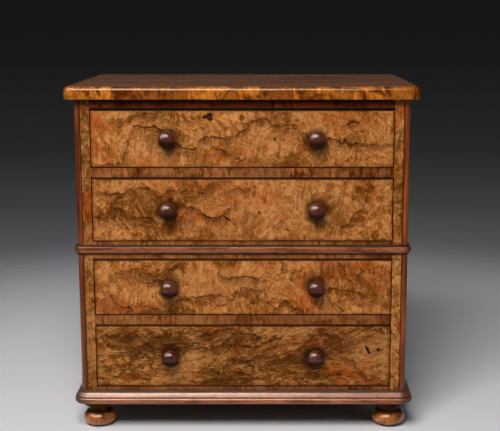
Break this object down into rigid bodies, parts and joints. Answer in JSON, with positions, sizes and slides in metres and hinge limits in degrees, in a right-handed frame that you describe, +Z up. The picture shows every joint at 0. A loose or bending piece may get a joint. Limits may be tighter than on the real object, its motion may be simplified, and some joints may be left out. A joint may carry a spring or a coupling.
{
  "type": "table-top chest of drawers",
  "caption": "Small upright chest with full-width drawers, round turned knobs, a waist band, an overhanging top, a moulded base and bun feet.",
  "frame": {"origin": "on the floor, under the middle of the chest's overall width and depth, knobs included", "axes": "+X to the chest's right as seen from the front, +Y to its back, +Z up; the drawers open towards -Y"},
  "size_m": [0.38, 0.2582, 0.384],
  "materials": {
    "mahogany_panel": "plain aged mahogany, unpolished",
    "walnut_moulding": "polished walnut moulding",
    "crossbanded_rail": "polished cross-banded walnut",
    "dark_post": "dark red-brown polished wood",
    "drawer_lining": "thin light hardwood lining, unpolished",
    "drawer_bottom": "thin softwood board, unpolished",
    "mahogany_core": "plain mahogany, unpolished",
    "rosewood_knob": "dark turned wood, gloss polish",
    "burr_veneer": "French-polished burr walnut, figured gold and brown",
    "carcase_pine": "plain pine, unpolished",
    "turned_walnut": "turned walnut, satin gloss polish",
    "veneered_side": "polished straight-grained walnut veneer",
    "burr_facing": "polished light burr veneer facing",
    "cross_grain_edging": "polished cross-grain walnut in short lengths",
    "top_veneer": "dark French-polished figured walnut",
    "screw_steel": "dull aged steel"
  },
  "bodies": {
    "carcase": {"back_board": "mahogany_panel", "base_board": "mahogany_panel", "base_moulding": "walnut_moulding", "bottom_rail": "crossbanded_rail", "corner_post_left": "dark_post", "corner_post_right": "dark_post", "drawer_guides": "carcase_pine", "drawer_runners": "carcase_pine", "drawer_stops": "carcase_pine", "dust_boards": "carcase_pine", "foot_back_left": "turned_walnut", "foot_back_right": "turned_walnut", "foot_front_left": "turned_walnut", "foot_front_right": "turned_walnut", "lower_rail": "crossbanded_rail", "side_left": "veneered_side", "side_right": "veneered_side", "stile_left": "burr_facing", "stile_right": "burr_facing", "top_board": "carcase_pine", "top_edge_moulding": "cross_grain_edging", "top_kickers": "carcase_pine", "top_rail": "crossbanded_rail", "top_veneer": "top_veneer", "upper_rail": "crossbanded_rail", "waist_moulding": "walnut_moulding", "waist_rail": "crossbanded_rail", "wood_screws": "screw_steel"},
    "drawer_1": {"drawer_1_back": "drawer_lining", "drawer_1_bottom": "drawer_bottom", "drawer_1_front": "mahogany_core", "drawer_1_knob_left": "rosewood_knob", "drawer_1_knob_right": "rosewood_knob", "drawer_1_side_left": "drawer_lining", "drawer_1_side_right": "drawer_lining", "drawer_1_veneer": "burr_veneer"},
    "drawer_2": {"drawer_2_back": "drawer_lining", "drawer_2_bottom": "drawer_bottom", "drawer_2_front": "mahogany_core", "drawer_2_knob_left": "rosewood_knob", "drawer_2_knob_right": "rosewood_knob", "drawer_2_side_left": "drawer_lining", "drawer_2_side_right": "drawer_lining", "drawer_2_veneer": "burr_veneer"},
    "drawer_3": {"drawer_3_back": "drawer_lining", "drawer_3_bottom": "drawer_bottom", "drawer_3_front": "mahogany_core", "drawer_3_knob_left": "rosewood_knob", "drawer_3_knob_right": "rosewood_knob", "drawer_3_side_left": "drawer_lining", "drawer_3_side_right": "drawer_lining", "drawer_3_veneer": "burr_veneer"},
    "drawer_4": {"drawer_4_back": "drawer_lining", "drawer_4_bottom": "drawer_bottom", "drawer_4_front": "mahogany_core", "drawer_4_knob_left": "rosewood_knob", "drawer_4_knob_right": "rosewood_knob", "drawer_4_side_left": "drawer_lining", "drawer_4_side_right": "drawer_lining", "drawer_4_veneer": "burr_veneer"}
  },
  "joints": [
    {"name": "drawer_1_slide", "type": "slide", "parent": "carcase", "child": "drawer_1", "axis": [0, -1, 0], "range_m": [0, 0.15]},
    {"name": "drawer_2_slide", "type": "slide", "parent": "carcase", "child": "drawer_2", "axis": [0, -1, 0], "range_m": [0, 0.15]},
    {"name": "drawer_3_slide", "type": "slide", "parent": "carcase", "child": "drawer_3", "axis": [0, -1, 0], "range_m": [0, 0.15]},
    {"name": "drawer_4_slide", "type": "slide", "parent": "carcase", "child": "drawer_4", "axis": [0, -1, 0], "range_m": [0, 0.15]}
  ]
}
